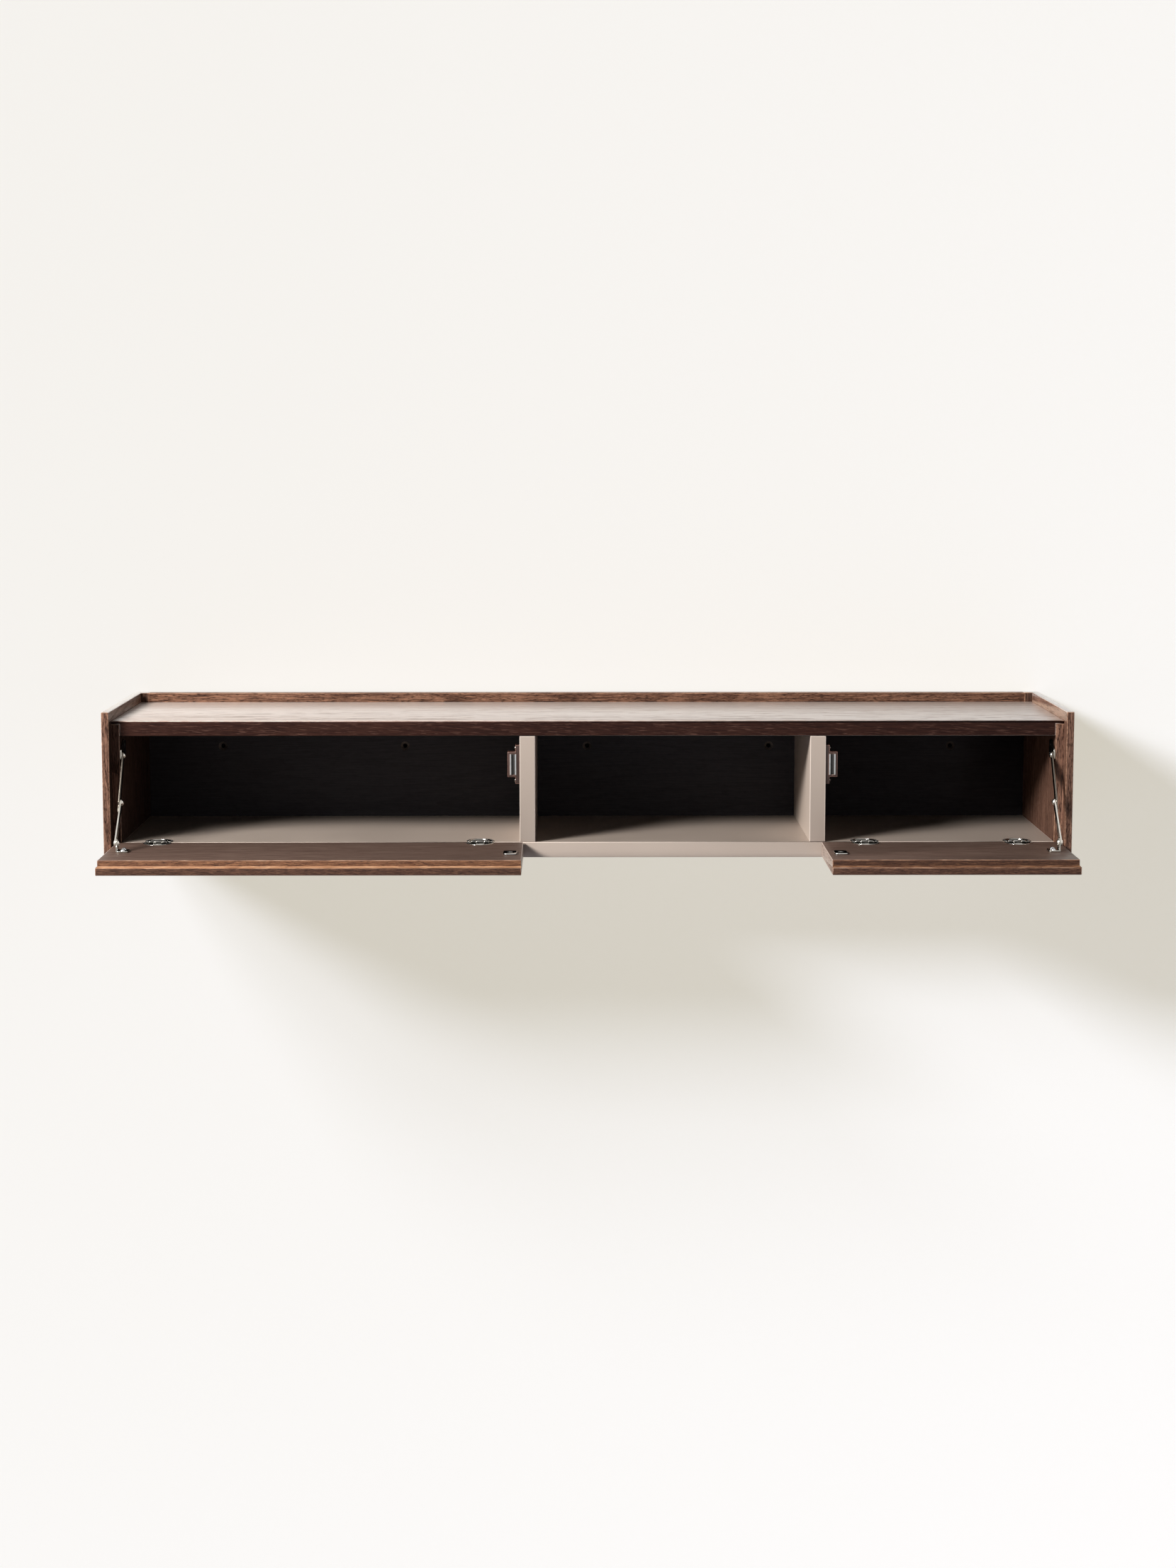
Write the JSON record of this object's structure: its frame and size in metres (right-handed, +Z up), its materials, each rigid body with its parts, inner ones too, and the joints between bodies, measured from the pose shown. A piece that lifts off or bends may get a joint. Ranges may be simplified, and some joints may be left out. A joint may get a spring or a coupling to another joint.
{
  "type": "wall-mounted console",
  "caption": "Low wall-hung console with an open middle bay and outer bays closed by bottom-hinged flaps on folding stays with magnetic catches, stored with the flaps open.",
  "frame": {"origin": "on the wall plane, in the middle of the row of wall fixing holes", "axes": "+X to the right as one faces the console, +Y into the wall, +Z up; the flaps open towards -Y"},
  "size_m": [1.118, 0.3845, 0.171],
  "materials": {
    "dark_wood": "dark stained oak veneer, satin, grain along the length",
    "dark_wood_upright": "dark stained oak veneer on the side panels, satin, grain upright",
    "dark_wood_flap": "dark stained oak veneer on the flaps, satin, grain along the length",
    "dark_back": "near-black stained board, matt",
    "taupe_lacquer": "satin taupe lacquer on board",
    "bright_nickel": "bright nickel-plated stampings and rivets",
    "nickel_casting": "nickel-plated zinc castings",
    "hinge_pin_steel": "plain steel pin",
    "zinc_screw": "zinc-plated wood screws",
    "brown_plastic": "moulded brown plastic, satin",
    "pole_steel": "bright plated steel pole plates and strikes",
    "ferrite": "dark grey ferrite magnet",
    "beech": "plain beech dowels, hidden"
  },
  "bodies": {
    "case": {"top_panel": "dark_wood", "bottom_panel": "taupe_lacquer", "back_board": "dark_back", "case_dowels": "beech", "back_board_screws": "zinc_screw", "side_panel_left": "dark_wood_upright", "divider_left": "taupe_lacquer", "hinge_case_cups_left": "nickel_casting", "hinge_case_screws_left": "zinc_screw", "hinge_pins_left": "hinge_pin_steel", "stay_case_bracket_left": "bright_nickel", "stay_case_screws_left": "zinc_screw", "stay_top_rivet_left": "bright_nickel", "catch_housing_left": "brown_plastic", "catch_pole_plates_left": "pole_steel", "catch_magnet_left": "ferrite", "catch_screws_left": "zinc_screw", "side_panel_right": "dark_wood_upright", "divider_right": "taupe_lacquer", "hinge_case_cups_right": "nickel_casting", "hinge_case_screws_right": "zinc_screw", "hinge_pins_right": "hinge_pin_steel", "stay_case_bracket_right": "bright_nickel", "stay_case_screws_right": "zinc_screw", "stay_top_rivet_right": "bright_nickel", "catch_housing_right": "brown_plastic", "catch_pole_plates_right": "pole_steel", "catch_magnet_right": "ferrite", "catch_screws_right": "zinc_screw"},
    "flap_left": {"flap_left": "dark_wood_flap", "hinge_flap_cups_left": "nickel_casting", "hinge_flap_screws_left": "zinc_screw", "stay_flap_bracket_left": "bright_nickel", "stay_flap_screws_left": "zinc_screw", "stay_flap_rivet_left": "bright_nickel", "strike_plate_left": "pole_steel", "strike_screw_left": "zinc_screw"},
    "upper_link_left": {"stay_upper_link_left": "bright_nickel", "stay_knee_tail_left": "bright_nickel"},
    "lower_link_left": {"stay_lower_link_left": "bright_nickel", "stay_knee_rivet_left": "bright_nickel"},
    "flap_right": {"flap_right": "dark_wood_flap", "hinge_flap_cups_right": "nickel_casting", "hinge_flap_screws_right": "zinc_screw", "stay_flap_bracket_right": "bright_nickel", "stay_flap_screws_right": "zinc_screw", "stay_flap_rivet_right": "bright_nickel", "strike_plate_right": "pole_steel", "strike_screw_right": "zinc_screw"},
    "upper_link_right": {"stay_upper_link_right": "bright_nickel", "stay_knee_tail_right": "bright_nickel"},
    "lower_link_right": {"stay_lower_link_right": "bright_nickel", "stay_knee_rivet_right": "bright_nickel"}
  },
  "joints": [
    {"name": "flap_left_hinge", "type": "hinge", "parent": "case", "child": "flap_left", "pos_m": [-0.3119, -0.243, -0.087], "axis": [-1, 0, 0], "range_deg": [0, 90]},
    {"name": "stay_top_pivot_left", "type": "hinge", "parent": "case", "child": "upper_link_left", "pos_m": [-0.5379, -0.2365, 0.014], "axis": [1, 0, 0], "range_deg": [0, 119.76]},
    {"name": "stay_flap_pivot_left", "type": "hinge", "parent": "flap_left", "child": "lower_link_left", "pos_m": [-0.5359, -0.318, -0.077], "axis": [1, 0, 0], "range_deg": [0, 69.27]},
    {"name": "flap_right_hinge", "type": "hinge", "parent": "case", "child": "flap_right", "pos_m": [0.40975, -0.243, -0.087], "axis": [-1, 0, 0], "range_deg": [0, 90]},
    {"name": "stay_top_pivot_right", "type": "hinge", "parent": "case", "child": "upper_link_right", "pos_m": [0.5379, -0.2365, 0.014], "axis": [1, 0, 0], "range_deg": [0, 119.76]},
    {"name": "stay_flap_pivot_right", "type": "hinge", "parent": "flap_right", "child": "lower_link_right", "pos_m": [0.5359, -0.318, -0.077], "axis": [1, 0, 0], "range_deg": [0, 69.27]}
  ],
  "couplings": [
    {"joint": "stay_top_pivot_left", "follows": "flap_left_hinge", "ratio": 1.3306},
    {"joint": "stay_flap_pivot_left", "follows": "flap_left_hinge", "ratio": 0.76967},
    {"joint": "stay_top_pivot_right", "follows": "flap_right_hinge", "ratio": 1.3306},
    {"joint": "stay_flap_pivot_right", "follows": "flap_right_hinge", "ratio": 0.76967}
  ]
}
